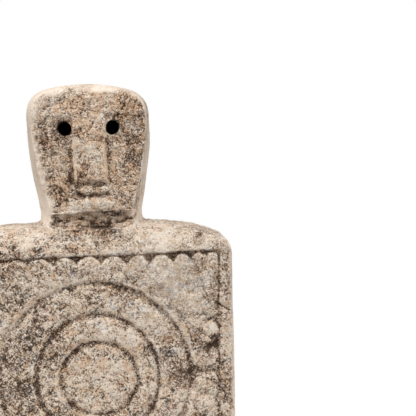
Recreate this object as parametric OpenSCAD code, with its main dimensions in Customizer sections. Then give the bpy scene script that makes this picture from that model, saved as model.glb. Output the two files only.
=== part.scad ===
// Carved stone figure: a slab body with a ringed chest panel, and a tapering head with drilled eyes,
// cut from one block. It faces -Y and stands on four felt pads. Millimetres, +Z up,
// origin at the middle of the footprint, on the surface that the pads stand on.

/* [Block] */
// Height of the stone, from its sawn underside to the crown of the head
figure_h = 450; // [430:1:470]
// Height of the shoulders above the underside
shoulder_h = 308; // [304:1:314]
// Width of the body at the shoulders
body_w = 280; // [276:1:290]
// Width of the body at the base
base_w = 271; // [264:1:276]
// Depth of the body
body_d = 105; // [100:1:115]

/* [Head] */
// Width of the head at the eyes
head_w = 125; // [120:1:130]
// Depth of the head, from the brow to the back
head_d = 88; // [84:1:92]
// How far the brow stands behind the chest
brow_setback = 6; // [4:1:8]
// Width of the neck where it meets the shoulders
neck_w = 102; // [98:1:106]
// How far the cheeks lie behind the brow and the nose
cheek_depth = 5; // [3:0.5:6]

/* [Eyes, nose and mouth] */
// Distance between the middles of the eyes
eye_spacing = 47; // [44:1:50]
// Diameter of each drilled eye
eye_d = 13.2; // [11:0.2:15]
// Depth of each eye behind the cheek
eye_depth = 26; // [15:1:30]
// Width of the nose
nose_w = 32; // [28:1:36]
// Height of the nose, from the brow down
nose_h = 63; // [58:1:66]
// Width of the mouth
mouth_w = 34; // [28:1:40]

/* [Chest panel] */
// Length of each side of the square panel
panel_w = 245; // [236:1:247]
// Height of the panel's middle above the underside
panel_z = 153; // [150:1:156]
// Depth of the channel round the panel
channel_depth = 3.5; // [2:0.5:5]
// Scallops along each side of the panel
scallops = 9; // [7:1:11]
// How far each scallop stands out
scallop_rise = 8; // [6:0.5:9]
// Gap between the scallops' crests and the border
crest_gap = 1.5; // [1:0.5:3]

/* [Rings] */
// Radius of each ring groove, at the middle of the groove
ring_radii = [39, 62.5, 95];
// Width of a ring groove
groove_w = 5.5; // [4:0.5:7]
// Depth of a ring groove
groove_depth = 2.6; // [1.5:0.1:2.7]

/* [Pads] */
// Diameter of each felt pad
pad_d = 34; // [25:1:40]
// Thickness of each felt pad
pad_h = 3; // [2:0.5:5]
// Distance between the pads across the figure
pad_spacing_x = 208; // [180:1:220]
// Distance between the pads from front to back
pad_spacing_y = 56; // [50:1:60]

/* [Hidden] */
$fn = 64;

stone_colour = [0.72, 0.65, 0.56];
felt_colour = [0.20, 0.19, 0.18];
past = 20;                               // how far a cutter runs past the stone

// Body
chest_y = -body_d / 2;
base_edge_r = 4;
shoulder_flat = 62;                      // half the width of the level part of the shoulders
shoulder_r = 160;                        // the long slope at each side of it
shoulder_corner_r = 18;                  // the tight corner at its end
chest_edge_r = 9;                        // upright edges of the body, at the front
back_edge_r = 15;                        // and at the back
brink_r = 26;                            // roll from the chest up on to the shoulders
brink_a = 100;                           // angle at which that roll ends
brink_drop = 4;                          // how much lower than the ridge it ends
ridge_y = -8;                            // where the shoulders become level
nape_r = 24;                             // roll from the shoulders down to the back

// Head
brow_y = chest_y + brow_setback;
cheek_y = brow_y + cheek_depth;
head_back_y = brow_y + head_d;
crown_r = 170;
temple_r = 25;
forehead_r = 15;
occiput_r = 28;
taper_top = figure_h - 60;               // the head is widest above this height
taper_power = 1.3;
neck_top = figure_h - 131;                // below this height the neck is straight
chin_z = figure_h - 128.5;
jaw_drop = 3;                            // height of the slope from the chin back to the throat
throat_setback = 14;                     // how far the throat lies behind the brow
face_bevel = 9;                          // how much narrower the face is than the head, at each side
bevel_reach = 42;                        // how far back that bevel runs
head_corner_r = 20;                      // upright edges at the back of the head
side_clear = 2;                          // keeps the leaning sides off the head's front outline
face_clear = 1;                          // and their front edge off the face
brow_z = figure_h - 37;
eye_z = figure_h - 45.5;
eye_rim_r = 10;                          // worn mouth of each eye, at the surface
eye_rim_depth = 3;
nose_base_z = brow_z - nose_h;
mouth_z = figure_h - 115.5;
mouth_arc_r = 70;
mouth_cut_r = 2.4;
lip_w = mouth_w + 2;
lip_r = 6;
lip_stand = 2.2;                         // how far the lip stands out from the cheeks

// Panel
field_half = panel_w / 2 - crest_gap - scallop_rise;
scallop_pitch = 2 * field_half / scallops;
scallop_steps = 6;
scallop_fullness = 0.8;                  // 1 is a sine arch, and less is a fuller one

// Points along an arc, from angle a0 to a1
function arc(centre, r, a0, a1, steps) =
    [for (i = [0:steps]) let (a = a0 + (a1 - a0) * i / steps) centre + r * [cos(a), sin(a)]];

// A run of points without its first, which the run before it ends on
function rest_of(points) = [for (i = [1:len(points) - 1]) points[i]];

// A right-hand half outline joined to its mirror image
function both_sides(half) =
    concat(half, [for (i = [len(half) - 1:-1:0]) [-half[i][0], half[i][1]]]);

// Half the width of the head at height z, which stays level below the chin
function head_half(z) =
    let (t = min(1, max(0, taper_top - z) / (taper_top - neck_top)))
    head_w / 2 - (head_w - neck_w) / 2 * pow(t, taper_power);

// Body seen from the front
function body_outline() =
    let (reach = body_w / 2 - shoulder_corner_r - shoulder_flat,
         span = shoulder_r - shoulder_corner_r,
         a = acos(reach / span),
         slope = [shoulder_flat, shoulder_h - shoulder_r],
         corner = slope + [reach, sqrt(span * span - reach * reach)])
    both_sides(concat(
        arc([base_w / 2 - base_edge_r, base_edge_r], base_edge_r, -90, 0, 3),
        arc(corner, shoulder_corner_r, 0, a, 6),
        rest_of(arc(slope, shoulder_r, a, 90, 6))));

// Body seen from the side, as [y, z]
function body_profile() = concat(
    arc([chest_y + base_edge_r, base_edge_r], base_edge_r, -90, -180, 3),
    arc([chest_y + brink_r, shoulder_h - brink_drop - brink_r], brink_r, 180, brink_a, 8),
    [[ridge_y, shoulder_h]],
    arc([-chest_y - nape_r, shoulder_h - nape_r], nape_r, 90, 0, 8),
    arc([-chest_y - base_edge_r, base_edge_r], base_edge_r, 0, -90, 3));

// Body seen from above
function body_plan() = both_sides(concat(
    arc([body_w / 2 - chest_edge_r, chest_y + chest_edge_r], chest_edge_r, -90, 0, 6),
    arc([body_w / 2 - back_edge_r, -chest_y - back_edge_r], back_edge_r, 0, 90, 8)));

// Head and neck seen from the front
function head_outline() =
    let (reach = head_w / 2 - temple_r,
         span = crown_r - temple_r,
         a = acos(reach / span),
         crown = [0, figure_h - crown_r],
         temple = crown + [reach, sqrt(span * span - reach * reach)],
         steps = 8)
    both_sides(concat(
        [[neck_w / 2, shoulder_h - 2 * past]],
        [for (i = [0:steps]) let (z = neck_top + (taper_top - neck_top) * i / steps) [head_half(z), z]],
        arc(temple, temple_r, 0, a, 8),
        rest_of(arc(crown, crown_r, a, 90, 4))));

// Head and neck seen from the side, as [y, z]
function head_profile() = concat(
    [[brow_y + throat_setback, shoulder_h - 2 * past],
     [brow_y + throat_setback, chin_z - jaw_drop],
     [cheek_y, chin_z]],
    [[cheek_y, nose_base_z], [brow_y, nose_base_z]],
    arc([brow_y + forehead_r, figure_h - forehead_r], forehead_r, 180, 90, 6),
    arc([head_back_y - occiput_r, figure_h - occiput_r], occiput_r, 90, 0, 8),
    [[head_back_y, shoulder_h - 2 * past]]);

// Half the head seen from above: a bevelled face and a rounded back. Its side lies at x = 0.
function head_half_plan() = concat(
    [[-head_w, brow_y - face_clear], [-face_bevel, brow_y - face_clear], [0, brow_y + bevel_reach]],
    arc([-head_corner_r, head_back_y - head_corner_r], head_corner_r, 0, 90, 7),
    [[-head_w, head_back_y]]);

// One side of the panel's raised field, with an arch between every two notches
function field_side() =
    [for (k = [0:scallops - 1], i = [0:scallop_steps - 1])
        let (u = (k + i / scallop_steps) * scallop_pitch,
             rise = pow(sin(180 * i / scallop_steps), scallop_fullness))
        [u - field_half, field_half + scallop_rise * rise]];

// Points turned about the origin
function turned(points, a) =
    [for (p = points) [p[0] * cos(a) - p[1] * sin(a), p[0] * sin(a) + p[1] * cos(a)]];

// Draws a front outline as a prism through the depth
module from_front(depth) rotate([90, 0, 0]) linear_extrude(depth, center = true) children();

// Draws a side profile, as [y, z], as a prism across the width
module from_side(width) rotate([90, 0, 90]) linear_extrude(width, center = true) children();

module body_block() {
    intersection() {
        from_front(body_d + past) polygon(body_outline());
        from_side(body_w + past) polygon(body_profile());
        linear_extrude(shoulder_h) polygon(body_plan());
    }
}

// One side of the head: an upright prism that leans in towards the neck
module head_side() {
    lean = atan((head_w - neck_w) / 2 / (taper_top - shoulder_h));
    translate([head_w / 2 + side_clear, 0, taper_top])
        rotate([0, lean, 0])
            linear_extrude(2 * head_w, center = true) polygon(head_half_plan());
}

module head_block() {
    intersection() {
        from_front(body_d + past) polygon(head_outline());
        from_side(head_w + past) polygon(head_profile());
        head_side();
        mirror([1, 0, 0]) head_side();
    }
}

// The hollows beside the nose and under it, which leave the brow and the nose standing
module face_hollows() {
    for (side = [-1, 1])
        translate([side * (nose_w / 2 + head_w / 2), cheek_y - past / 2, (chin_z + brow_z) / 2 - past / 2])
            cube([head_w, past, brow_z - chin_z + past], center = true);
}

module eye() {
    rotate([-90, 0, 0]) {
        translate([0, 0, -past]) cylinder(h = eye_depth + past, d = eye_d);
        translate([0, 0, -eye_rim_depth])
            cylinder(h = 2 * eye_rim_depth, r1 = 2 * eye_rim_r - eye_d / 2, r2 = eye_d / 2);
    }
}

module lip() {
    translate([0, cheek_y + lip_r - lip_stand, mouth_z + lip_r + mouth_cut_r / 2])
        rotate([0, 90, 0]) cylinder(h = lip_w, r = lip_r, center = true);
}

module mouth_cut() {
    half_a = asin(mouth_w / 2 / mouth_arc_r);
    translate([0, cheek_y - lip_stand / 2, mouth_z + mouth_arc_r])
        rotate([90, 0, 0])
            rotate([0, 0, -90 - half_a])
                rotate_extrude(angle = 2 * half_a) translate([mouth_arc_r, 0]) circle(mouth_cut_r);
}

// The channel between the panel's border and its scalloped field
module panel_channel() {
    translate([0, chest_y + channel_depth, panel_z])
        rotate([90, 0, 0])
            linear_extrude(channel_depth + past)
                difference() {
                    square(panel_w, center = true);
                    polygon([for (q = [0:3]) each turned(field_side(), -90 * q)]);
                }
}

module ring_groove(r) {
    cut_r = (groove_w * groove_w / 4 + groove_depth * groove_depth) / (2 * groove_depth);
    translate([0, chest_y + groove_depth - cut_r, panel_z])
        rotate([90, 0, 0])
            rotate_extrude() translate([r, 0]) circle(cut_r);
}

module stone_figure() {
    color(stone_colour)
        translate([0, 0, pad_h])
            difference() {
                union() {
                    body_block();
                    difference() {
                        head_block();
                        face_hollows();
                    }
                    lip();
                }
                for (side = [-1, 1])
                    translate([side * eye_spacing / 2, cheek_y, eye_z]) eye();
                mouth_cut();
                panel_channel();
                for (r = ring_radii) ring_groove(r);
            }
}

module felt_pad(side_x, side_y) {
    color(felt_colour)
        translate([side_x * pad_spacing_x / 2, side_y * pad_spacing_y / 2, 0])
            cylinder(h = pad_h, d = pad_d);
}

stone_figure();
felt_pad(-1, -1);  // felt_pad_front_left
felt_pad(1, -1);  // felt_pad_front_right
felt_pad(-1, 1);  // felt_pad_back_left
felt_pad(1, 1);  // felt_pad_back_right
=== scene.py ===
# Looks of the carved stone figure: one weathered block of coarse stone, on four felt pads.
# Shapes are worked out in millimetres, in the frame's own axes, and become metres when a mesh is made.
# Where ramp and bump measure a length, their limits are in millimetres. noise takes a size and then a seed.

import math

import bmesh
import bpy
import numpy as np
from mathutils import Euler, Matrix, Vector


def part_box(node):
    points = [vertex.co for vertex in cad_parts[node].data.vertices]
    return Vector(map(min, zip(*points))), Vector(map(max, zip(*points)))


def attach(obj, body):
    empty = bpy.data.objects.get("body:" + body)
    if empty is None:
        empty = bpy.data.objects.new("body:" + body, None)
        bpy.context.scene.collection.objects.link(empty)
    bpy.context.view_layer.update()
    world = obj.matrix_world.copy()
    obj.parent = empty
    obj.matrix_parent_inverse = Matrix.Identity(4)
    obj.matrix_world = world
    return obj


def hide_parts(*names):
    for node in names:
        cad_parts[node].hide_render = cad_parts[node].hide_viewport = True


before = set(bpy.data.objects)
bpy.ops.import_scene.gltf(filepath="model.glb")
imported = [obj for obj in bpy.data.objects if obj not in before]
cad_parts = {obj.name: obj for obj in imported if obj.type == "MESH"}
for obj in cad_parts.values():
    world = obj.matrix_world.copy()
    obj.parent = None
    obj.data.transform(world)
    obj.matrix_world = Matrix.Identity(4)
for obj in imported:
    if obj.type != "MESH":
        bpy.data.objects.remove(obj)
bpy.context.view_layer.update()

MM = 0.001
STONE_LOW, STONE_HIGH = (np.array(corner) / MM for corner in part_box("stone_figure"))
UNDERSIDE, CROWN = STONE_LOW[2], STONE_HIGH[2]
CHEST, BACK = STONE_LOW[1], STONE_HIGH[1]

# ---------------------------------------------------------------------------
# Sizes of the block, as carved
# ---------------------------------------------------------------------------
SKIN = 0.9                               # the smooth block lies this far inside its box, for the weathering
VOXEL = 1.1                              # size of the faces that it is remeshed into
SHOULDER = UNDERSIDE + 308
BODY_HALF = STONE_HIGH[0] - SKIN
BASE_HALF = 135.5 - SKIN
CHEST_EDGE, BACK_EDGE, BASE_EDGE = 9.0, 15.0, 4.0        # how far the slab's edges are rounded
RIDGE = -8.0                             # y of the highest line of the shoulders

HEAD_HALF, NECK_HALF = 62.5, 51.0
TAPER_TOP, NECK_TOP = UNDERSIDE + 390, UNDERSIDE + 319
BROW = CHEST + 6.0                       # plane of the forehead and the nose
HEAD_BACK = BROW + 88.0
CROWN_R = 170.0                          # radius of the arc over the top of the head
BROW_Z = UNDERSIDE + 415.5
CHIN_Z = UNDERSIDE + 321.5
FACE_SPARE = 1.0                         # how far the block stands out from the brow before it is carved
CHEEK_DEPTH = 4.6                        # how far the cheeks lie behind the nose
NOSE_LEFT, NOSE_RIGHT, NOSE_BASE = -15.4, 16.4, UNDERSIDE + 352.0
MOUTH_Z = UNDERSIDE + 336.5
EYE_Z, EYE_SPACING, EYE_R, EYE_DEPTH = UNDERSIDE + 404.5, 47.0, 7.0, 26.0
THROAT_HALF, THROAT_DEPTH = 41.0, 12.0

PANEL_Z = UNDERSIDE + 153                # height of the middle of the rings


# ---------------------------------------------------------------------------
# Noise
# ---------------------------------------------------------------------------
TILT = np.array(Euler((0.7, 0.5, 0.3)).to_matrix())      # keeps the lattice off the stone's own planes


def hashed(cell, seed):
    """A number from 0 to 1 for each whole-number cell, with no pattern to be seen."""
    h = cell @ np.array([73856093, 19349663, 83492791]) + seed * 2654435761
    for shift, factor in ((15, 2246822519), (13, 3266489917)):
        h = ((h & 0xFFFFFFFF) ^ ((h & 0xFFFFFFFF) >> shift)) * factor
    return ((h >> 7) & 0xFFFFFF) / 0xFFFFFF


def noise(p, size, seed):
    """Smooth noise from -1 to 1, with bumps of the given size."""
    q = p @ TILT / size
    cell = np.floor(q).astype(np.int64)
    f = q - cell
    ease = f * f * f * (f * (f * 6 - 15) + 10)
    total = np.zeros(len(p))
    for corner in np.ndindex(2, 2, 2):
        weight = np.where(corner, ease, 1 - ease).prod(axis=1)
        total += weight * hashed(cell + np.array(corner), seed)
    return 2 * total - 1


def fractal(p, size, seed):
    """Noise on three scales, each half the size of the one before and a little weaker."""
    gain, seed_step = 0.8, 31
    return sum(gain**k * noise(p, size / 2**k, seed + seed_step * k) for k in range(3))


def pits(p, size, seed, share):
    """Round hollows from 0 to 1 deep, strewn over a share of the cells of the given size."""
    q = p @ TILT / size
    home = np.floor(q).astype(np.int64)
    deepest = np.zeros(len(p))
    for step in np.ndindex(3, 3, 3):
        cell = home + np.array(step) - 1
        centre = cell + np.stack([hashed(cell, seed + k) for k in range(3)], axis=1)
        radius = 0.25 + 0.35 * hashed(cell, seed + 3)
        away = np.linalg.norm(q - centre, axis=1) / radius
        there = hashed(cell, seed + 4) < share
        deepest = np.maximum(deepest, np.where(there, 1 - away**2, 0))
    return deepest


def ramp(value, low, high):
    """0 below low, 1 above high, and a smooth rise between."""
    t = np.clip((value - low) / (high - low), 0, 1)
    return t * t * (3 - 2 * t)


def bump(value, half):
    """1 at zero, falling smoothly to almost nothing at twice half on either side."""
    return np.exp(-((value / half) ** 2))


# ---------------------------------------------------------------------------
# The smooth block
# ---------------------------------------------------------------------------
def arc(cx, cy, r, start, end, steps):
    """Points along an arc, with its angles in degrees."""
    angles = np.radians(np.linspace(start, end, steps + 1))
    return [(cx + r * math.cos(a), cy + r * math.sin(a)) for a in angles]


def both_sides(half):
    """A right-hand half outline, front to back, joined to its mirror image."""
    return half + [(-x, y) for x, y in reversed(half)]


def follow(outline, z):
    """The outline's first coordinate where its second, which rises, is z."""
    across, up = zip(*outline)
    return float(np.interp(z, up, across))


def add_loft(name, rings):
    """A closed solid through rings of points, lowest first, each [(x, y, z), ...] of one length."""
    bm = bmesh.new()
    levels = [[bm.verts.new(Vector(p) * MM) for p in ring] for ring in rings]
    for low, high in zip(levels, levels[1:]):
        for k in range(len(low)):
            bm.faces.new((low[k - 1], low[k], high[k], high[k - 1]))
    bm.faces.new(reversed(levels[0]))
    bm.faces.new(levels[-1])
    return add_object(name, bm)


def add_object(name, bm):
    """A new object in the scene with the given shape, its faces turned outwards."""
    bmesh.ops.recalc_face_normals(bm, faces=bm.faces)
    mesh = bpy.data.meshes.new(name)
    bm.to_mesh(mesh)
    bm.free()
    thing = bpy.data.objects.new(name, mesh)
    bpy.context.scene.collection.objects.link(thing)
    return thing


def body_block():
    """The slab: upright and slightly tapered, with rolled shoulders."""
    slope_r, slope_x, corner_r = 160.0, 62.0, 18.0
    reach = BODY_HALF - corner_r - slope_x
    span = slope_r - corner_r
    turn = math.degrees(math.acos(reach / span))
    corner_z = SHOULDER - slope_r + math.sqrt(span**2 - reach**2)
    outline = (
        [(BASE_HALF - BASE_EDGE, UNDERSIDE), (BASE_HALF, UNDERSIDE + BASE_EDGE)]
        + arc(BODY_HALF - corner_r, corner_z, corner_r, 0, turn, 6)
        + arc(slope_x, SHOULDER - slope_r, slope_r, turn, 90, 8)[1:]
    )
    roll, drop, nape = 24.0, 3.0, 24.0
    front = (
        [(CHEST + SKIN + BASE_EDGE, UNDERSIDE), (CHEST + SKIN, UNDERSIDE + BASE_EDGE)]
        + arc(CHEST + SKIN + roll, SHOULDER - drop - roll, roll, 180, 95, 8)
        + [(RIDGE, SHOULDER)]
    )
    back = (
        [(BACK - SKIN - BASE_EDGE, UNDERSIDE), (BACK - SKIN, UNDERSIDE + BASE_EDGE)]
        + arc(BACK - SKIN - nape, SHOULDER - nape, nape, 0, 90, 8)
    )
    lower = [UNDERSIDE, UNDERSIDE + BASE_EDGE, UNDERSIDE + 150]
    heights = [*lower, *(SHOULDER - np.geomspace(90, 0.3, 24)), SHOULDER]
    full_depth = 60.0                    # where the slab is thinner, its upright edges are sharper

    def ring(z):
        side, near, far = follow(outline, z), follow(front, z), follow(back, z)
        share = min(1.0, (far - near) / full_depth)
        chest_r, back_r = CHEST_EDGE * share, BACK_EDGE * share
        half = arc(side - chest_r, near + chest_r, chest_r, -90, 0, 6)
        half += arc(side - back_r, far - back_r, back_r, 0, 90, 8)
        return [(x, y, z) for x, y in both_sides(half)]

    return add_loft("body_block", [ring(z) for z in heights])


def head_half(z):
    """Half the width of the head at a height between the neck and the temples."""
    t = np.clip((TAPER_TOP - z) / (TAPER_TOP - NECK_TOP), 0, 1)
    return HEAD_HALF - (HEAD_HALF - NECK_HALF) * t**1.3


def head_block():
    """The head and neck: a tapering block whose face is narrower than its back."""
    temple_r, forehead_r, occiput_r, corner_r = 25.0, 15.0, 28.0, 20.0
    reach, span = HEAD_HALF - temple_r, CROWN_R - temple_r
    rise = math.sqrt(span**2 - reach**2)
    turn = math.degrees(math.acos(reach / span))
    tapering = np.linspace(NECK_TOP, TAPER_TOP, 9)
    outline = (
        [(NECK_HALF, SHOULDER - 30)] + [(head_half(z), z) for z in tapering]
        + arc(reach, CROWN - SKIN - CROWN_R + rise, temple_r, 0, turn, 10)
        + arc(0, CROWN - SKIN - CROWN_R, CROWN_R, turn, 89, 8)[1:]
    )
    face = BROW - FACE_SPARE
    front = [(face, SHOULDER - 30), (face, CROWN - 20)]
    front += arc(face + forehead_r, CROWN - SKIN - forehead_r, forehead_r, 180, 90, 8)
    back = [(HEAD_BACK, SHOULDER - 30)]
    back += arc(HEAD_BACK - occiput_r, CROWN - SKIN - occiput_r, occiput_r, 0, 90, 8)
    # how much narrower the face is on each side than the back of the head, and at what height
    bevel = [(13.0, CHIN_Z), (11.0, CHIN_Z + 16), (8.5, CHIN_Z + 36), (8.0, CHIN_Z + 62), (5.0, EYE_Z)]
    bevel_reach = 42.0                   # how far back the bevelled side of the face runs
    heights = [SHOULDER - 30, CHIN_Z, *tapering[1:], *(CROWN - SKIN - np.geomspace(38, 0.1, 24))]
    full_half, full_depth = 55.0, 70.0   # where the head is narrower or thinner, its corners are sharper

    def ring(z):
        side, near, far, cut = (follow(line, z) for line in (outline, front, back, bevel))
        share = min(1.0, side / full_half, (far - near) / full_depth)
        r = corner_r * share
        half = [(side - cut * share, near), (side, near + bevel_reach * share)]
        half += arc(side - r, far - r, r, 0, 90, 8)
        return [(x, y, z) for x, y in both_sides(half)]

    return add_loft("head_block", [ring(z) for z in heights])


def hollows():
    """What is cut deep into the block: the drilled eyes, and the throat under the chin."""
    bm = bmesh.new()
    cheek, backwards = BROW + CHEEK_DEPTH, Matrix.Rotation(math.radians(-90), 4, "X")
    cuts = (                             # how far off the eye's axis, radius outside and inside, start, end
        (0.0, EYE_R, EYE_R, -10.0, EYE_DEPTH),
        (2.0, EYE_R + 3, EYE_R - 3, -6.0, 4.0),
    )
    for side in (-1, 1):
        for off, r_out, r_in, start, end in cuts:
            middle = Vector((side * (EYE_SPACING / 2 + off), cheek + (start + end) / 2, EYE_Z + off / 2)) * MM
            bmesh.ops.create_cone(
                bm, cap_ends=True, segments=32, radius1=r_out * MM, radius2=r_in * MM,
                depth=(end - start) * MM, matrix=Matrix.Translation(middle) @ backwards,
            )
    shake = 0.6                          # how far the eyes' edges stray from a true circle
    for v in bm.verts:
        v.co += Vector(noise(np.array([v.co]) / MM + shift, 5, 31)[0] for shift in (0, 40, 80)) * shake * MM
    floor_z = SHOULDER - 1
    throat = [
        (-THROAT_HALF, floor_z), (THROAT_HALF, floor_z), (THROAT_HALF, CHIN_Z - 1),
        (THROAT_HALF / 2, CHIN_Z), (-THROAT_HALF / 2, CHIN_Z - 0.5), (-THROAT_HALF, CHIN_Z - 1.5),
    ]
    rings = [
        [bm.verts.new(Vector((x * spread, y, z)) * MM) for x, z in throat]
        for y, spread in ((BROW - 10, 1.06), (BROW + THROAT_DEPTH, 0.97))
    ]
    for k in range(len(throat)):
        bm.faces.new((rings[0][k - 1], rings[0][k], rings[1][k], rings[1][k - 1]))
    bm.faces.new(rings[0])
    bm.faces.new(reversed(rings[1]))
    return add_object("hollows", bm)


def evaluated_mesh(thing, name):
    """The mesh that an object's modifiers make of it."""
    graph = bpy.context.evaluated_depsgraph_get()
    mesh = bpy.data.meshes.new_from_object(thing.evaluated_get(graph))
    mesh.name = name
    return mesh


def smooth_block():
    """Body and head as one even mesh, with the deep hollows cut."""
    body, head, cutter = body_block(), head_block(), hollows()
    for operation, other in (("UNION", head), ("DIFFERENCE", cutter)):
        cut = body.modifiers.new(operation, "BOOLEAN")
        cut.operation, cut.object, cut.solver = operation, other, "EXACT"
        cut.use_self = True
    remesh = body.modifiers.new("even", "REMESH")
    remesh.mode, remesh.voxel_size = "VOXEL", VOXEL * MM
    mesh = evaluated_mesh(body, "stone")
    for thing in (body, head, cutter):
        bpy.data.objects.remove(thing)
    return mesh


def read(items, attribute, width, kind=np.float32):
    """One property of every vertex or edge, as an array with a row for each."""
    flat = np.empty(len(items) * width, kind)
    items.foreach_get(attribute, flat)
    return flat.reshape(-1, width).astype(float if kind is np.float32 else np.int64)


def relax(co, edges, weight, rounds):
    """Moves each point towards the middle of its neighbours, by its weight."""
    a, b = edges.T
    neighbours = np.bincount(edges.ravel(), minlength=len(co))
    for _ in range(rounds):
        around = [np.bincount(a, co[b, k], len(co)) + np.bincount(b, co[a, k], len(co)) for k in range(3)]
        co = co + weight[:, None] * (np.stack(around, axis=1) / neighbours[:, None] - co)
    return co


# ---------------------------------------------------------------------------
# The carving, as depth cut into the front, where more than zero is deeper
# ---------------------------------------------------------------------------
# Places on the panel are given from its middle: x to the right and z upwards.
RINGS = (                                # middle x and z, radius across and up, half width, depth, dirt and painted shade
    (1.0, 0.0, 38.3, 36.3, 2.7, 3.0, 1.1),
    (-0.5, 1.2, 61.3, 63.2, 2.7, 3.2, 1.0),
    (-3.0, 0.0, 95.5, 96.0, 3.4, 2.3, 0.45),
)
TOP_NOTCHES = (                          # place along the side, and depth
    (-124, 4), (-116, 6), (-91, 5), (-66.5, 7), (-42, 9), (-17.5, 8),
    (7.5, 9), (33, 9.5), (56, 10), (79, 8.5), (97, 6), (113, 3), (124, 2),
)
SIDE_NOTCHES = (
    (-124, 3), (-96, 5), (-72, 6), (-48, 7), (-24, 5), (1, 5), (29, 11), (54, 5), (70, 2), (101, 1), (124, 1),
)
EVEN_NOTCHES = tuple((x, 7.5) for x in np.linspace(-122, 122, 11))
BOSSES = ((114.0, 46.0, 6.5), (110.0, 13.0, 9.0), (108.0, -9.0, 10.0), (107.0, -32.0, 9.0))  # x, z, radius
CRACKS = (                               # x and z of both ends, and half the width
    (117.0, 76.0, 138.0, 61.0, 1.2),
    (46.0, 149.0, 72.0, 150.5, 0.8),
    (103.0, 23.0, 124.0, 37.0, 5.0),
    (111.0, 53.0, 124.0, 61.0, 1.4),
    (98.0, -15.0, 114.0, -16.0, 0.9),
)


def scalloped_edge(along, notches, border, gap):
    """Where the scalloped field ends: arches between the notches, their crests just inside the border."""
    place, deep = np.array(notches, float).T
    k = np.clip(np.searchsorted(place, along) - 1, 0, len(place) - 2)
    t = np.clip((along - place[k]) / (place[k + 1] - place[k]), 0, 1)
    return border - gap - np.interp(along, place, deep) * (1 - np.sin(math.pi * t) ** 0.75)


def sideways(p, reach, size, seed):
    """Points moved about in x and z, so that what is drawn on them looks cut by hand."""
    return p + reach * np.stack([noise(p, size, seed), np.zeros(len(p)), noise(p, size, seed + 1)], axis=1)


def chest_carving(p):
    """Depth of the panel's channel and rings, how much of a groove each point lies in, and how much it is
    lightened as wear and painted highlight.
    """
    q = sideways(sideways(p, 0.9, 34, 11), 0.35, 9, 13)
    x, z = q[:, 0], q[:, 2] - PANEL_Z
    depth, groove, worn = np.zeros((3, len(p)))
    for cx, cz, rx, rz, half, deep, dirt_and_shade in RINGS:
        off = (np.hypot((x - cx) / rx, (z - cz) / rz) - 1) * (rx + rz) / 2
        weight = 1.0 + 0.1 * np.cos(np.arctan2(z - cz, x - cx) - 1.0) + 0.14 * noise(p, 19, 18)
        cut = bump(off, half * (1 + 0.15 * noise(p, 15, 17))) * weight
        depth += deep * cut
        groove = np.maximum(groove, dirt_and_shade * (1 + 0.3 * noise(p, 28, 20)) * cut)
        # a lighter rim just outside each ring: painted highlight, with some wear
        worn = np.maximum(worn, 0.7 * bump(off - 4.5, 1.8) * ramp(noise(p, 24, 16), -0.5, 0.4))
    r, swell = np.hypot(x, z), 0.9       # the disc and the bands between the rings swell out a little
    depth -= swell * (ramp(r, 37, 15) + bump(r - 50, 7) + bump(r - 78, 10))
    depth += swell * ramp(r, 84, 92) * ramp(r, 99, 96)       # and the stone falls away to the outer ring

    sides = (                            # along, outwards, notches, border, gap
        (x, z, TOP_NOTCHES, 124.2, 1.3),
        (z, x - 0.03 * z, SIDE_NOTCHES, 122.6, 1.9),
        (z, -x - 0.03 * z, SIDE_NOTCHES, 122.6, 1.9),
        (x, -z, EVEN_NOTCHES, 122.0, 1.3),
    )
    past_field, in_border = np.zeros(len(p)), np.ones(len(p))
    for along, out, notches, border, gap in sides:
        beyond = out - scalloped_edge(along, notches, border, gap)
        past_field = np.maximum(past_field, ramp(beyond, -0.9, 0.9))
        in_border = np.minimum(in_border, ramp(border - out, -0.7, 0.9))
    channel, channel_depth = past_field * in_border, 3.4
    at_sides, at_left = ramp(np.abs(x), 100, 118) * ramp(-z, -118, -100), ramp(-x, 45, 70)
    faint = np.maximum(0.45 * at_sides, 0.25 * at_left)
    depth += channel_depth * channel * (1 + 0.35 * noise(p, 17, 19)) * (1 - faint)

    for bx, bz, reach in BOSSES:
        away = np.hypot(x - bx, z - bz)
        depth += 1.4 * bump(away - 1.3 * reach, reach * 0.35) - 1.2 * bump(away, reach * 0.75)
    # the channel under the border is painted dark: painted shadow, with some dirt
    return depth, np.maximum(groove, 1.9 * channel * (1 - faint)), worn


def cracks(p):
    """How much of a crack each point lies in, from 0 to 1."""
    q = sideways(p, 1.0, 7, 15)
    x, z = q[:, 0], q[:, 2] - PANEL_Z
    deepest = np.zeros(len(p))
    for x0, z0, x1, z1, half in CRACKS:
        run = math.hypot(x1 - x0, z1 - z0)
        along = ((x - x0) * (x1 - x0) + (z - z0) * (z1 - z0)) / run
        off = ((x - x0) * (z1 - z0) - (z - z0) * (x1 - x0)) / run
        deepest = np.maximum(deepest, bump(off, half) * ramp(along, 0, 4) * ramp(run - along, 0, 4))
    return deepest


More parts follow.
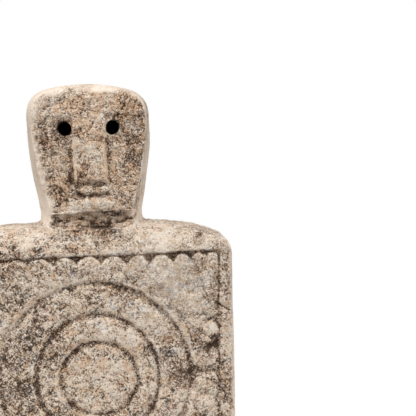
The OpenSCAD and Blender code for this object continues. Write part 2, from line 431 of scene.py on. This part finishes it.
def face_carving(p):
    """Depth of the face behind the brow, how much of a groove each point lies in, and how much it is
    lightened as wear and painted highlight.
    """
    q = sideways(p, 0.6, 14, 21)
    x, z = q[:, 0], q[:, 2]
    below_brow = 0.55 * ramp(BROW_Z - z, -6, 6) + 0.45 * ramp(BROW_Z - z, -2, 32)
    above_base = ramp(z - NOSE_BASE, -4.5, 1.5)
    nose = ramp(x - NOSE_LEFT, -3.2, 0.3) * ramp(NOSE_RIGHT - x, -1.4, 0.2) * above_base
    depth = CHEEK_DEPTH * below_brow * (1 - nose) + 2.4 * np.abs(x / HEAD_HALF) ** 3
    depth -= 0.7 * nose * below_brow * bump(x, 9)
    for side in (-1, 1):
        depth += 0.8 * bump(np.hypot(x - side * (EYE_SPACING / 2 + 4), z - EYE_Z - 1), 10)

    upper_lip = ramp(19 - np.abs(x), -3, 4) * bump(z - MOUTH_Z - 5.5 - 0.05 * x, 3.8)
    lower_lip = ramp(22 - np.abs(x - 2), -6, 8) * bump(z - MOUTH_Z + 7, 5.5)
    under_nose = ramp(17 - np.abs(x), -4, 4) * bump(z - NOSE_BASE + 3.5, 2.8)
    slit = ramp(16 - np.abs(x - 2), -2, 3) * bump(z - MOUTH_Z - 0.35 * np.maximum(x - 10, 0), 1.4)
    depth += 2.3 * slit + 0.8 * under_nose - 2.2 * upper_lip - 1.2 * lower_lip
    depth += 0.3 * np.maximum(CHIN_Z + 3 - z, 0)

    # the nose's edges and the chin's edge are painted lighter: painted highlight, with some wear
    left_edge = 1.4 * bump(x - NOSE_LEFT - 0.3, 1.7) * ramp(EYE_Z - 14 - z, -3, 6)
    right_edge = 2.0 * bump(x - NOSE_RIGHT + 0.7, 1.2) * ramp(EYE_Z - 4 - z, -3, 4)
    chin_edge = bump(z - CHIN_Z - 2.2, 1.8) * ramp(44 - np.abs(x), -3, 4)
    worn = above_base * (left_edge + right_edge) * ramp(noise(p, 11, 22), -0.9, -0.1)
    worn += 0.45 * chin_edge * ramp(noise(p, 16, 23), -0.4, 0.4)

    # darker beside the nose, under it and in the mouth's slit: painted shade, with some dirt
    beside_nose = 0.7 * bump(x - NOSE_LEFT + 3.2, 2.0) + 0.6 * bump(x - NOSE_RIGHT - 2.2, 1.6)
    groove = slit + 0.15 * bump(z - NOSE_BASE + 2.5, 2.5) * ramp(17 - np.abs(x - 1), -2, 3)
    groove += beside_nose * above_base * ramp(EYE_Z - 6 - z, -3, 6)
    return depth, groove, worn


# ---------------------------------------------------------------------------
# Areas of the surface
# ---------------------------------------------------------------------------
def facing(normals, way):
    """How squarely each point faces one way, from -1 to 1."""
    return normals @ np.array(way, float)


def inside_face(co):
    """1 on the rough face, and 0 in the smoother margin round it, wider on the left and lower down."""
    x, _, z = co.T
    half = head_half(z)
    down = np.clip((TAPER_TOP - z) / (TAPER_TOP - NECK_TOP), 0, 1)
    ragged = 2.5 * fractal(co, 12, 45)
    below_crown = CROWN - x * x / (2 * CROWN_R) - z
    left, right = ramp(x + half + ragged - 5 * down, 5, 15), ramp(half - x + ragged - 3 * down, 0, 5)
    return left * right * ramp(below_crown + ragged, 3, 12)


def face_rim(co):
    """1 along the face's edges, beside the cheeks and over the brow, and 0 elsewhere."""
    beside = ramp(np.abs(co[:, 0]), 34, 42) * ramp(co[:, 2] - CHIN_Z, 4, 10)
    over = ramp(co[:, 2] - EYE_Z, 14, 22)
    return np.minimum(beside + over, 1) * ramp(BROW + 20 - co[:, 1], 0, 5)


def throat_rim(co):
    """1 along the sides and the floor of the throat's pocket, and 0 elsewhere."""
    x, y, z = co.T
    across, height = np.abs(np.abs(x) - THROAT_HALF), z - SHOULDER
    side = ramp(7 - across, 0, 4) * ramp(CHIN_Z - 4 - z, 0, 3)
    floor = ramp(7 - np.abs(height), 0, 4) * ramp(THROAT_HALF + 4 - np.abs(x), 0, 4)
    return np.maximum(side, floor) * ramp(-y, 10, 20) * ramp(height, -12, -6)


def below_chin(co):
    """1 in the hollow under the chin, which is lowest in the middle, and 0 elsewhere. The material paints it
    darker, as shade with some dirt.
    """
    x, y, z = co.T
    low_edge = SHOULDER - 9 + np.where(x < 5, 0.004, 0.008) * (x - 5) ** 2 + 3 * noise(co, 12, 43)
    sides = ramp(THROAT_HALF + 3 - np.abs(x - 2), -2, 3)
    return sides * ramp(CHIN_Z + 0.5 - z, -1, 1) * ramp(z - low_edge, -3, 5) * ramp(-y, 12, 26)


def from_eye(co):
    """How far each point lies from the axis of the nearer eye, in millimetres."""
    return np.minimum(*(np.hypot(co[:, 0] - side * EYE_SPACING / 2, co[:, 2] - EYE_Z) for side in (-1, 1)))


def around_eyes(co):
    """1 in the drilled eyes and close round them, falling to 0 some way off."""
    return ramp(EYE_R + 6 - from_eye(co), 0, 4) * ramp(BROW + EYE_DEPTH + 12 - co[:, 1], 0, 3)


def inside_eyes(co):
    """1 inside the drilled eyes, behind their mouths, and 0 elsewhere."""
    depth = co[:, 1] - BROW - CHEEK_DEPTH
    deep = ramp(depth, 0.0, 2.5) * ramp(EYE_DEPTH + 3 - depth, -1, 1)
    return ramp(EYE_R + 1.6 - from_eye(co), 0, 1.2) * deep


def roughness(co, normals, flat, up):
    """1 where the stone is pecked, on the front and round the eyes, and less at the back and on top."""
    on_head = ramp(co[:, 2] - SHOULDER, 2, 8)
    front = (1 - on_head) * ramp(flat, 0.40, 0.95) + on_head * ramp(flat, 0.0, 0.4) * inside_face(co)
    back = 0.7 * ramp(facing(normals, (0, 1, 0)), 0.5, 0.9)
    return np.maximum.reduce([front, back, 0.8 * up * (1 - on_head), around_eyes(co)])


# ---------------------------------------------------------------------------
# Stains, and some painted shade
# ---------------------------------------------------------------------------
# Each is x, z above the underside, radius, and how much lighter, warmer and calmer the stone is there.
# What is left out is zero.
PATCHES = (
    # The head: its crown and forehead
    (3, 451, 13, -0.40, 0.2), (-13, 440, 7, 0.35), (5, 437, 9, 0.26), (40, 427, 15, -0.13, 0.8, -0.1),
    # (30, 409) and (-31, 408) are painted shade beside the drilled eyes
    (-18, 424, 14, -0.04, 0.2, -0.4), (-47, 422, 13, 0.24), (3, 415, 9, 0.28), (30, 409, 5, -0.15),
    (-31, 408, 6, -0.25), (55, 405, 6, 0.20), (-7, 399, 6, -0.20, 0.3), (-13, 396, 6, -0.25),
    # Its eyes, nose and cheeks
    (0, 385, 70, -0.03, 0.4, 0.05), (3, 381, 6, 0.20, -0.2), (-33, 373, 13, 0.10, -0.3, 0.45),
    (42, 372, 15, -0.15, 0.1), (-2, 360, 8, -0.14, 0.2), (20, 358, 4, 0.20), (-25, 356, 6, 0.30, 0.2),
    (3, 353, 7, 0.15, 0.1), (44, 345, 10, -0.05, 0.2), (-31, 341, 11, -0.20, 0.5),
    # Its chin, and the throat below
    (0, 329, 20, 0.12, 0, 0.2), (-22, 318, 9, 0.20, 0.2), (-4, 318, 9, 0.25, 0.2),
    # (-17, 306) and (11, 300) are painted shade under the throat, with some dirt
    (32, 318, 9, 0.20, 0.2), (8, 316, 8, 0.34, 0.1), (32, 312, 9, 0.25, 0.3), (-17, 306, 9, -0.60, 0.4),
    (11, 300, 12, -0.65, 0.4),
    # The shoulders
    (-80, 303, 48, 0.16, 0, -0.45), (60, 303, 48, 0.16, -0.1, 0.15), (-80, 300, 7, -0.12, 0.5, -0.2),
    (-48, 293, 8, 0.30), (-24, 293, 7, 0.14), (107, 293, 8, -0.04, 0.2), (3, 288, 20, 0.16, 0.1),
    (-58, 285, 6, -0.20, 0.4), (-77, 284, 9, -0.62, 0.3, -0.1), (-23, 284, 6, -0.50, 0.5),
    (87, 284, 9, -0.34, 0.1), (-97, 283, 9, -0.50, 0.2),
    # The panel, left of the rings' middle
    (-46, 277, 6, 0.18), (-87, 268, 7, -0.20, 0.2), (-65, 255, 8, 0.28, -0.1), (-79, 252, 6, -0.26),
    (-43, 244, 10, 0.34, -0.1), (-85, 222, 30, 0.08), (-55, 221, 7, -0.22),
    (-100, 215, 46, -0.02, -0.1, -0.2), (-69, 201, 7, -0.28, -0.4), (-93, 198, 8, -0.28, -0.3),
    (-58, 190, 9, -0.12, 0.1), (-89, 175, 7, -0.26, -0.3), (-81, 148, 13, -0.45, 0, -0.2),
    (-64, 146, 7, -0.50), (-65, 128, 9, -0.45),
    # The middle of the rings
    (28, 257, 6, 0.20), (27, 241, 7, -0.30, 0.3), (-19, 222, 7, 0.26), (30, 206, 7, -0.20),
    (-20, 201, 9, 0.28, 0, -0.3), (14, 198, 12, 0.46, 0, -0.3), (-15, 183, 9, -0.30),
    (-36, 181, 7, -0.28, -0.1), (28, 177, 7, -0.20), (-33, 164, 7, -0.16, 0.1), (7, 161, 10, 0.42, 0.1),
    (0, 153, 38, 0.07, 0.25, -0.3), (-37, 150, 6, -0.40), (25, 149, 6, -0.20, 0.4), (19, 128, 8, 0.20),
    (-12, 127, 8, 0.20), (-31, 126, 7, -0.30),
    # The panel, right of the rings' middle
    (101, 264, 10, -0.30, 0.1), (42, 257, 6, -0.20), (120, 255, 8, -0.12, 0.2),
    (80, 244, 38, 0.03, -0.4, 0.65), (61, 226, 12, 0.28, 0.2), (45, 219, 12, 0.09),
    (114, 199, 12, -0.16), (114, 199, 6, 1.05, -0.4, 0.5), (98, 190, 9, -0.18, 0.2),
    (137, 190, 15, 0.30, 0.1, 0.1), (117, 183, 8, -0.72), (50, 178, 7, -0.24, -0.3), (82, 177, 4, 0.45),
    (72, 176, 8, -0.50, -0.5), (64, 172, 5, -0.30, -0.4), (91, 170, 5, -0.35, -0.2), (61, 167, 7, 0.26),
    (106, 165, 7, 0.20), (82, 157, 7, -0.42, -0.4), (62, 150, 6, 0.22), (72, 136, 13, 0.28, 0.1),
    (105, 132, 16, 0.22, -0.1, 0.1),
    # Below the photograph's edge, where the stains are guessed
    (-105, 95, 20, 0.10), (137, 90, 14, 0.12, 0.1, 0.2), (-60, 62, 30, -0.10, 0.1),
    (50, 52, 27, 0.08, 0, 0.2), (-100, 40, 14, -0.14, 0, -0.2), (92, 38, 22, -0.12, 0.2),
    (-12, 22, 20, -0.10, 0.2),
)


def patches(co):
    """How much lighter, warmer and calmer each area of the front is, fading out towards the back."""
    changes = np.zeros((3, len(co)))
    place = sideways(co, 4.0, 15, 81)
    for x, z, radius, *change in PATCHES:
        near = bump(np.hypot(place[:, 0] - x, place[:, 2] - UNDERSIDE - z), radius)
        for total, amount in zip(changes, change):
            total += amount * near
    return changes * ramp(-co[:, 1], 0, 30)


# ---------------------------------------------------------------------------
# The weathered stone
# ---------------------------------------------------------------------------
def reshaped(mesh, co):
    """Puts the points in the mesh, and returns them with their new normals."""
    mesh.vertices.foreach_set("co", (co * MM).ravel())
    mesh.update()
    return co, read(mesh.vertex_normals, "vector", 3)


def uneven(co):
    """The block as the mason left it: the crown slants, and one shoulder is lower than the other."""
    x, z = co[:, 0], co[:, 2]
    at_shoulder = ramp(z, SHOULDER - 50, SHOULDER - 8) * ramp(NECK_TOP - z, -1, 1)
    lift = (2.0 * ramp(-x, 68, 96) - 1.8 * ramp(x, 40, 90)) * at_shoulder
    lift -= 0.035 * x * ramp(z, EYE_Z, CROWN - 12)
    return co + lift[:, None] * np.array([0, 0, 1])


def settled(mesh, edges):
    """The block's points once its edges are rounded by weather, and a 1 for each that lies inside the eyes.
    """
    co = read(mesh.vertices, "co", 3) / MM
    across, z = np.abs(co[:, 0]), co[:, 2]
    hole = inside_eyes(co)
    at_neck = bump(z - SHOULDER, 9) * ramp(across, 38, 46) * ramp(75 - across, 0, 8)
    on_head = ramp(z - SHOULDER, 10, 22)
    co = relax(co, edges, 0.5 * (1 - 0.8 * hole), 7)
    co = relax(co, edges, 0.5 * at_neck, 80)
    co = relax(co, edges, 0.5 * throat_rim(co), 40)
    off_chin = ramp(np.abs(co[:, 2] - CHIN_Z), 4, 14)
    co = relax(co, edges, 0.6 * on_head * (1 - around_eyes(co)) * off_chin, 40)
    return uneven(co), hole


def weathering(co, rough, in_groove, throat):
    """How deep the stone is weathered at each point, and how much of that is pecking, pits and creases."""
    heave = 0.7 * noise(co, 75, 51) + 0.45 * noise(co, 33, 52)
    creases = ramp(noise(co, 34, 59), -0.3, 0.4) * (1 - np.abs(noise(co, 15, 58))) ** 5
    pecked = 0.65 * fractal(co, 11, 53) + 1.2 * creases
    pecked += 0.7 * pits(co, 3.6, 61, 0.32) + 0.9 * pits(co, 8.5, 67, 0.18)
    ground = 0.22 * noise(co, 13, 55) + 0.07 * noise(co, 3.2, 56) + 0.5 * pits(co, 6.0, 73, 0.08)
    hacked = 2.2 * fractal(co * np.array([0.7, 1, 1.5]), 12, 88) * throat
    dug = rough * pecked * (1 - 0.6 * in_groove) + (1 - rough) * ground + hacked
    return heave + dug, dug


def carved_stone():
    """The block with its carving and its weathering, and the values that its material reads."""
    mesh = smooth_block()
    edges = read(mesh.edges, "vertices", 2, np.int32)
    co, hole = settled(mesh, edges)
    co, normals = reshaped(mesh, co)
    forward, up = facing(normals, (0, -1, 0)), ramp(facing(normals, (0, 0, 1)), 0.2, 0.7)
    flat = forward + 0.22 * fractal(co, 13, 41)
    front, on_body = ramp(forward, 0.55, 0.93), ramp(SHOULDER - 18 - co[:, 2], -6, 3)

    chest_depth, chest_groove, chest_worn = chest_carving(co)
    face_depth, face_groove, face_worn = face_carving(co)
    on_face = (co[:, 2] > SHOULDER - 2) & (co[:, 1] < BROW + THROAT_DEPTH)
    co[:, 1] += front * on_body * chest_depth
    co[:, 1] = np.where(on_face, np.maximum(co[:, 1], BROW + face_depth), co[:, 1])
    co = relax(co, edges, 0.35 * (1 - hole) * ramp(forward, -0.1, 0.2), 2)
    co = relax(co, edges, 0.5 * face_rim(co), 12)
    co, normals = reshaped(mesh, co)

    rough, throat = roughness(co, normals, flat, up), below_chin(co)
    crack = cracks(co) * ramp(facing(normals, (0, -1, 0)), 0.0, 0.3)
    depth, dug = weathering(co, rough, np.minimum(on_body * chest_groove, 1), throat)
    depth += 4.0 * throat * up + crack
    co = co - normals * (depth * (1 - hole))[:, None]
    co, normals = reshaped(mesh, np.clip(co, STONE_LOW, STONE_HIGH))

    around = relax(co, edges, np.full(len(co), 0.8), 12)
    tone, warmth, calm = patches(co)
    values = {
        "rough": rough,
        "groove": front * np.maximum(on_body * chest_groove, (1 - on_body) * face_groove) + crack,
        "worn": np.maximum(front * on_body * chest_worn, (1 - on_body) * face_worn * ramp(-co[:, 1], 26, 34)),
        "throat": throat,
        "hollow": ((around - co) * normals).sum(axis=1) * (1 - 0.8 * around_eyes(co)),
        "hole": hole,
        "dug": dug,
        "tone": tone,
        "warmth": warmth,
        "calm": calm,
    }
    for name, value in values.items():
        mesh.attributes.new(name, "FLOAT", "POINT").data.foreach_set("value", value.astype(np.float32))
    mesh.polygons.foreach_set("use_smooth", np.ones(len(mesh.polygons), bool))
    stone = bpy.data.objects.new("carved_stone", mesh)
    bpy.context.scene.collection.objects.link(stone)
    thin_out(stone, np.flatnonzero(co[:, 1] > BROW + 18))
    return stone


def thin_out(stone, plain):
    """Takes faces out round the plain points, and leaves the carved front as fine as it was."""
    group = stone.vertex_groups.new(name="plain")
    group.add(plain.tolist(), 1.0, "REPLACE")
    kept_share = 0.55
    fewer = stone.modifiers.new("fewer", "DECIMATE")
    fewer.ratio, fewer.vertex_group = kept_share, group.name
    mesh = evaluated_mesh(stone, "carved_stone")
    stone.modifiers.clear()
    stone.vertex_groups.clear()
    stone.data = mesh


# ---------------------------------------------------------------------------
# Materials
# ---------------------------------------------------------------------------
class Shader:
    """A material's node tree, with short calls to add to it."""

    def __init__(self, name):
        self.material = bpy.data.materials.new(name)
        self.material.use_nodes = True
        self.tree = self.material.node_tree
        self.principled = self.tree.nodes["Principled BSDF"]
        self.place = self.add("ShaderNodeTexCoord").outputs["Object"]

    def add(self, kind, inputs=None, **settings):
        """A new node, with its settings, and with sockets linked or values set as its inputs."""
        node = self.tree.nodes.new(kind)
        for key, value in settings.items():
            setattr(node, key, value)
        for key, value in (inputs or {}).items():
            self.feed(node.inputs[key], value)
        return node

    def feed(self, socket, value):
        if isinstance(value, bpy.types.NodeSocket):
            self.tree.links.new(value, socket)
        else:
            socket.default_value = value

    def attribute(self, name):
        """The value that the mesh stores for each point under the name."""
        return self.add("ShaderNodeAttribute", attribute_name=name).outputs["Fac"]

    def noise(self, size, detail, roughness, seed):
        """Noise with bumps of about the given size in millimetres."""
        shift = (seed, seed * 0.7, -seed)
        moved = self.add("ShaderNodeVectorMath", {0: self.place, 1: shift}, operation="ADD").outputs[0]
        inputs = {"Vector": moved, "Scale": 1 / (size * MM), "Detail": detail, "Roughness": roughness}
        return self.add("ShaderNodeTexNoise", inputs).outputs["Fac"]

    def warped(self, reach, size):
        """The place, shifted about by up to reach millimetres over bumps of the given size."""
        inputs = {"Vector": self.place, "Scale": 1 / (size * MM), "Detail": 1.0}
        drift = self.add("ShaderNodeTexNoise", inputs).outputs["Color"]
        inputs = {0: drift, 1: (2 * reach * MM,) * 3, 2: self.place}
        return self.add("ShaderNodeVectorMath", inputs, operation="MULTIPLY_ADD").outputs[0]

    def grains(self, size, reach):
        """A random value for each ragged grain of about the given size."""
        inputs = {"Vector": self.warped(reach, size), "Scale": 1 / (size * MM)}
        shade = self.add("ShaderNodeTexVoronoi", inputs).outputs["Color"]
        return self.add("ShaderNodeSeparateColor", {0: shade}).outputs["Red"]

    def math(self, operation, a, b):
        return self.add("ShaderNodeMath", {0: a, 1: b}, operation=operation).outputs[0]

    def span(self, value, low, high, to_low=0.0, to_high=1.0):
        """value from low to high, as a smooth rise from to_low to to_high."""
        inputs = {"Value": value, "From Min": low, "From Max": high, "To Min": to_low, "To Max": to_high}
        return self.add("ShaderNodeMapRange", inputs, interpolation_type="SMOOTHSTEP").outputs["Result"]

    def total(self, start, *parts):
        """start and, for each part, its distance from a middle value times a weight."""
        for value, middle, weight in parts:
            inputs = {0: value, 1: weight, 2: -middle * weight}
            part = self.add("ShaderNodeMath", inputs, operation="MULTIPLY_ADD").outputs[0]
            start = self.math("ADD", part, start)
        return start

    def ramp(self, value, stops):
        """The colour at value, between stops of (value, colour)."""
        node = self.add("ShaderNodeValToRGB", {"Fac": value})
        line = node.color_ramp
        while len(line.elements) < len(stops):
            line.elements.new(0.5)
        for element, (place, _) in zip(line.elements, stops):
            element.position = place
        for element, (_, shade) in zip(line.elements, stops):
            element.color = colour(*shade)
        return node.outputs["Color"]

    def mix(self, amount, a, b, blend="MIX"):
        node = self.add("ShaderNodeMix", data_type="RGBA", blend_type=blend)
        for socket, value in zip((node.inputs[0], node.inputs[6], node.inputs[7]), (amount, a, b)):
            self.feed(socket, value)
        return node.outputs[2]


def colour(r, g, b):
    """A colour given as it shows on a screen, from 0 to 255, as the linear values that shaders take."""
    return tuple(((c / 255 + 0.055) / 1.055) ** 2.4 for c in (r, g, b)) + (1.0,)


def stone_material():
    """Coarse stone: each part of it has a tone, from dark dirt to bare pale grain, and a colour to match."""
    s = Shader("weathered_stone")
    rough, groove, throat = s.attribute("rough"), s.attribute("groove"), s.attribute("throat")
    hollow, warm, calm = s.attribute("hollow"), s.attribute("warmth"), s.attribute("calm")

    grain, speck, chips = s.grains(1.1, 0.4), s.grains(1.45, 0.6), s.grains(3.3, 1.6)
    mottle, clouds = s.noise(14, 3, 1.0, 3.0), s.noise(45, 1, 0.8, 4.0)
    dug, worn, lively = s.attribute("dug"), s.attribute("worn"), s.math("SUBTRACT", 1.0, calm)
    pitted = s.math("MULTIPLY", dug, lively)
    change = s.total(0.0, (s.attribute("tone"), 0, 1.0), (clouds, 0.5, 0.8), (pitted, 0.35, -0.16))
    # hollows are painted darker: painted shade, with some dirt
    cavity = s.span(hollow, 0.0, 0.9)

    most_dark = 0.72                     # share of the grains that are dark in the darkest places, from stains and from painted shade in hollows
    dark = s.total(0.22, (mottle, 0.5, 2.2), (change, 0, -1.5), (cavity, 0, 0.3))
    peppered = s.span(s.math("SUBTRACT", speck, s.math("MINIMUM", dark, most_dark)), -0.10, 0.08, 1, 0)
    spread = s.total(
        0.0, (grain, 0.5, 0.94), (chips, 0.5, 0.42), (mottle, 0.5, 0.78), (peppered, 0.24, -0.46),
    )
    broken = s.span(s.noise(7, 3, 0.9, 5.0), 0.35, 0.62, 0.6, 1.0)
    # grooves, the channel and cracks are painted darker: dirt and painted shade
    dirt_and_shade = s.math("MULTIPLY", groove, broken)
    # convex crests are painted lighter: wear and painted highlight
    crest = s.math("MULTIPLY", s.span(hollow, 0.0, -0.8), broken)
    cells = {"Vector": s.warped(6.0, 9.0), "Scale": 1 / (17 * MM)}
    from_edge = s.add("ShaderNodeTexVoronoi", cells, feature="DISTANCE_TO_EDGE").outputs["Distance"]
    creased = s.span(s.noise(20, 1, 0.5, 12.0), 0.5, 0.58)
    hairline = s.math("MULTIPLY", s.span(from_edge, 0.05, 0.015), creased)
    lively = s.math("MULTIPLY", lively, s.span(worn, 0, 1, 1, 0.4))
    # throat paints shade under the chin, with some dirt
    tone = s.total(
        0.665, (s.math("MULTIPLY", spread, lively), 0, 1.0), (change, 0, 0.8), (dirt_and_shade, 0, -0.30),
        (throat, 0, -0.13), (cavity, 0, -0.12), (crest, 0, 0.22), (hairline, 0, -0.3), (worn, 0, 0.6),
    )

    pecked = s.ramp(tone, (
        (0.0, (74, 57, 45)), (0.2, (112, 91, 74)), (0.4, (152, 129, 109)), (0.6, (186, 163, 141)),
        (0.8, (216, 196, 175)), (1.0, (242, 227, 209)),
    ))
    tan = s.total(s.noise(10, 4, 0.9, 6.0), (warm, 0, 0.16), (chips, 0.5, 0.07), (worn, 0, 0.1))
    pecked = s.mix(s.span(tan, 0.47, 0.66, 0, 0.6), pecked, colour(228, 190, 152), "MULTIPLY")
    grey = s.total(s.noise(13, 4, 0.9, 8.0), (warm, 0, -0.10), (chips, 0.5, -0.07))
    pecked = s.mix(s.span(grey, 0.50, 0.68, 0, 0.6), pecked, colour(168, 164, 166), "SATURATION")
    flaky = s.span(s.noise(40, 1, 0.5, 17.0), 0.5, 0.55)
    flake = s.math("MULTIPLY", s.span(s.grains(4.2, 3.0), 0.95, 0.98), flaky)
    pecked = s.mix(s.math("MULTIPLY", flake, 0.45), pecked, colour(212, 176, 138))

    # cavity here too paints shade in the hollows
    freckle = s.total(
        0.71, (mottle, 0.5, 1.2), (grain, 0.5, 0.35), (chips, 0.5, 0.15), (clouds, 0.5, 0.6),
        (s.span(speck, 0.07, 0.03), 0, -0.3), (hairline, 0, -0.12), (change, 0, 0.5), (cavity, 0, -0.2),
    )
    cream = s.ramp(freckle, ((0.3, (186, 166, 146)), (0.6, (216, 198, 180)), (0.9, (230, 216, 200))))
    body = s.mix(rough, cream, pecked)
    # painted shade: the drilled eyes are painted near black, standing in for the deep shadow inside them
    body = s.mix(s.attribute("hole"), body, colour(20, 17, 15))
    s.feed(s.principled.inputs["Base Color"], body)
    s.principled.inputs["Roughness"].default_value = 0.92
    s.principled.inputs["Specular IOR Level"].default_value = 0.25

    height = s.total(
        0.0, (mottle, 0.5, 2.2), (s.noise(3.0, 3, 0.9, 10.0), 0.5, 1.2), (grain, 0.5, 0.5),
        (chips, 0.5, 0.25), (hairline, 0, -0.3),
    )
    strength = s.span(rough, 0, 1, 0.12, 0.85)
    relief = s.add("ShaderNodeBump", {"Height": height, "Strength": strength, "Distance": 0.002})
    s.feed(s.principled.inputs["Normal"], relief.outputs["Normal"])
    return s.material


def felt_material():
    """Dark pressed felt, with its fibres as fine relief."""
    s = Shader("pressed_felt")
    fibre = s.noise(0.6, 5, 0.8, 1.0)
    tone = s.mix(s.span(fibre, 0.35, 0.65), colour(38, 35, 32), colour(70, 66, 62))
    s.feed(s.principled.inputs["Base Color"], tone)
    s.principled.inputs["Roughness"].default_value = 1.0
    s.principled.inputs["Sheen Weight"].default_value = 0.3
    relief = s.add("ShaderNodeBump", {"Height": fibre, "Strength": 0.8, "Distance": 0.0005})
    s.feed(s.principled.inputs["Normal"], relief.outputs["Normal"])
    return s.material


# ---------------------------------------------------------------------------
# Felt pads
# ---------------------------------------------------------------------------
def felt_pad(node):
    """A punched felt disc in its CAD solid's place, bulging a little at the rim under the stone's weight."""
    low, high = (np.array(corner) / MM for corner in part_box(node))
    middle, (width, _, thick) = (low + high) / 2, high - low
    radius, around, ruffle = width / 2, 96, 0.12
    bulge = [
        (radius - 0.55 + 0.45 * math.cos(a), thick / 2 + (thick / 2 - 0.1) * math.sin(a))
        for a in np.radians(np.linspace(-80, 80, 9))
    ]
    profile = [
        (0.0, 0.0), (radius * 0.5, 0.0), (radius - 1.2, 0.05), *bulge,
        (radius - 1.2, thick - 0.02), (radius * 0.5, thick), (0.0, thick),
    ]
    bm = bmesh.new()
    rings = []
    for r, z in profile:
        a = 2 * math.pi * np.arange(around if r else 1) / around
        spokes = np.stack([r * np.cos(a), r * np.sin(a), 0 * a], axis=1)
        centre = np.array([middle[0], middle[1], low[2] + z])
        stray = noise(centre + spokes, 0.9, 71) if 0 < z < thick else 0 * a
        points = centre + spokes * (1 + ruffle * (stray - 1) / radius)[:, None]
        rings.append([bm.verts.new(Vector(point) * MM) for point in points])
    for below, above in zip(rings, rings[1:]):
        for k in range(around):
            loop = ((below, k - 1), (below, k), (above, k), (above, k - 1))
            corners = [ring[j % len(ring)] for ring, j in loop]
            bm.faces.new(list(dict.fromkeys(corners)))
    pad = add_object("punched_" + node, bm)
    for face in pad.data.polygons:
        face.use_smooth = True
    return pad


# ---------------------------------------------------------------------------
# Stage
# ---------------------------------------------------------------------------
def add_floor():
    """A pale floor that fades away, so that the background beyond it is plain white."""
    bm = bmesh.new()
    bmesh.ops.create_circle(bm, cap_ends=True, radius=1.2, segments=64)
    floor = add_object("floor", bm)
    pale, gone = 0.22, 0.52              # how far from the middle it starts to fade, and where it is gone
    s = Shader("pale_floor")
    s.principled.inputs["Base Color"].default_value = (0.86, 0.86, 0.85, 1)
    s.principled.inputs["Roughness"].default_value = 0.8
    away = s.add("ShaderNodeVectorMath", {0: s.place}, operation="LENGTH").outputs["Value"]
    clear = s.add("ShaderNodeBsdfTransparent").outputs[0]
    blend = s.add("ShaderNodeMixShader", {0: s.span(away, pale, gone), 1: s.principled.outputs[0], 2: clear})
    s.tree.links.new(blend.outputs[0], s.tree.nodes["Material Output"].inputs["Surface"])
    floor.data.materials.append(s.material)


def add_world():
    """White behind the object, and soft light that comes more from above than from below."""
    world = bpy.data.worlds.new("studio")
    world.use_nodes = True
    bpy.context.scene.world = world
    tree = world.node_tree
    lit, seen = tree.nodes["Background"], tree.nodes.new("ShaderNodeBackground")
    for background in (lit, seen):
        background.inputs["Color"].default_value = (1, 1, 1, 1)
    place = tree.nodes.new("ShaderNodeTexCoord")
    split = tree.nodes.new("ShaderNodeSeparateXYZ")
    rise = tree.nodes.new("ShaderNodeMapRange")
    rise.inputs["From Min"].default_value, rise.inputs["From Max"].default_value = -0.4, 0.8
    rise.inputs["To Min"].default_value, rise.inputs["To Max"].default_value = 0.14, 0.44
    path = tree.nodes.new("ShaderNodeLightPath")
    mix = tree.nodes.new("ShaderNodeMixShader")
    tree.links.new(place.outputs["Generated"], split.inputs[0])
    tree.links.new(split.outputs["Z"], rise.inputs["Value"])
    tree.links.new(rise.outputs[0], lit.inputs["Strength"])
    tree.links.new(path.outputs["Is Camera Ray"], mix.inputs[0])
    tree.links.new(lit.outputs[0], mix.inputs[1])
    tree.links.new(seen.outputs[0], mix.inputs[2])
    tree.links.new(mix.outputs[0], tree.nodes["World Output"].inputs["Surface"])


def add_area(name, place, target, size, power):
    """A square lamp that shines from its place towards the target."""
    light = bpy.data.lights.new(name, "AREA")
    light.size, light.energy = size, power
    lamp = bpy.data.objects.new(name, light)
    lamp.location = place
    lamp.rotation_euler = (Vector(target) - Vector(place)).to_track_quat("-Z", "Y").to_euler()
    bpy.context.scene.collection.objects.link(lamp)


def add_camera():
    """A long lens, a little to the left of the figure and above it, with the figure's axis leaning left."""
    yaw, elevation, roll = math.radians(-3.9), math.radians(3.5), math.radians(-2.1)
    target, distance = Vector((0.116, CHEST * MM, 0.3235)), 1.8
    level = math.cos(elevation)
    back = Vector((math.sin(yaw) * level, -math.cos(yaw) * level, math.sin(elevation)))
    data = bpy.data.cameras.new("camera")
    data.lens = 155.6
    camera = bpy.data.objects.new("camera", data)
    camera.location = target + distance * back
    turn = (-back).to_track_quat("-Z", "Y").to_matrix() @ Matrix.Rotation(roll, 3, "Z")
    camera.rotation_euler = turn.to_euler()
    bpy.context.scene.collection.objects.link(camera)
    bpy.context.scene.camera = camera


bpy.context.scene.view_settings.view_transform = "Standard"
add_camera()
add_world()
add_floor()
add_area("overhead", (-0.15, -0.8, 1.6), target=(0, 0, 0.3), size=0.4, power=15.5)
add_area("left", (-1.5, -0.6, 0.6), target=(0, 0, 0.25), size=1.0, power=12)
add_area("right", (1.5, -0.6, 0.6), target=(0, 0, 0.25), size=1.0, power=11)
add_area("behind", (0.5, 1.5, 1.3), target=(0, 0, 0.25), size=1.0, power=6)

stone = carved_stone()
stone.data.materials.append(stone_material())
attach(stone, "root")
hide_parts("stone_figure")

felt = felt_material()
for side in ("front_left", "front_right", "back_left", "back_right"):
    pad = felt_pad("felt_pad_" + side)
    pad.data.materials.append(felt)
    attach(pad, "root")
    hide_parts("felt_pad_" + side)
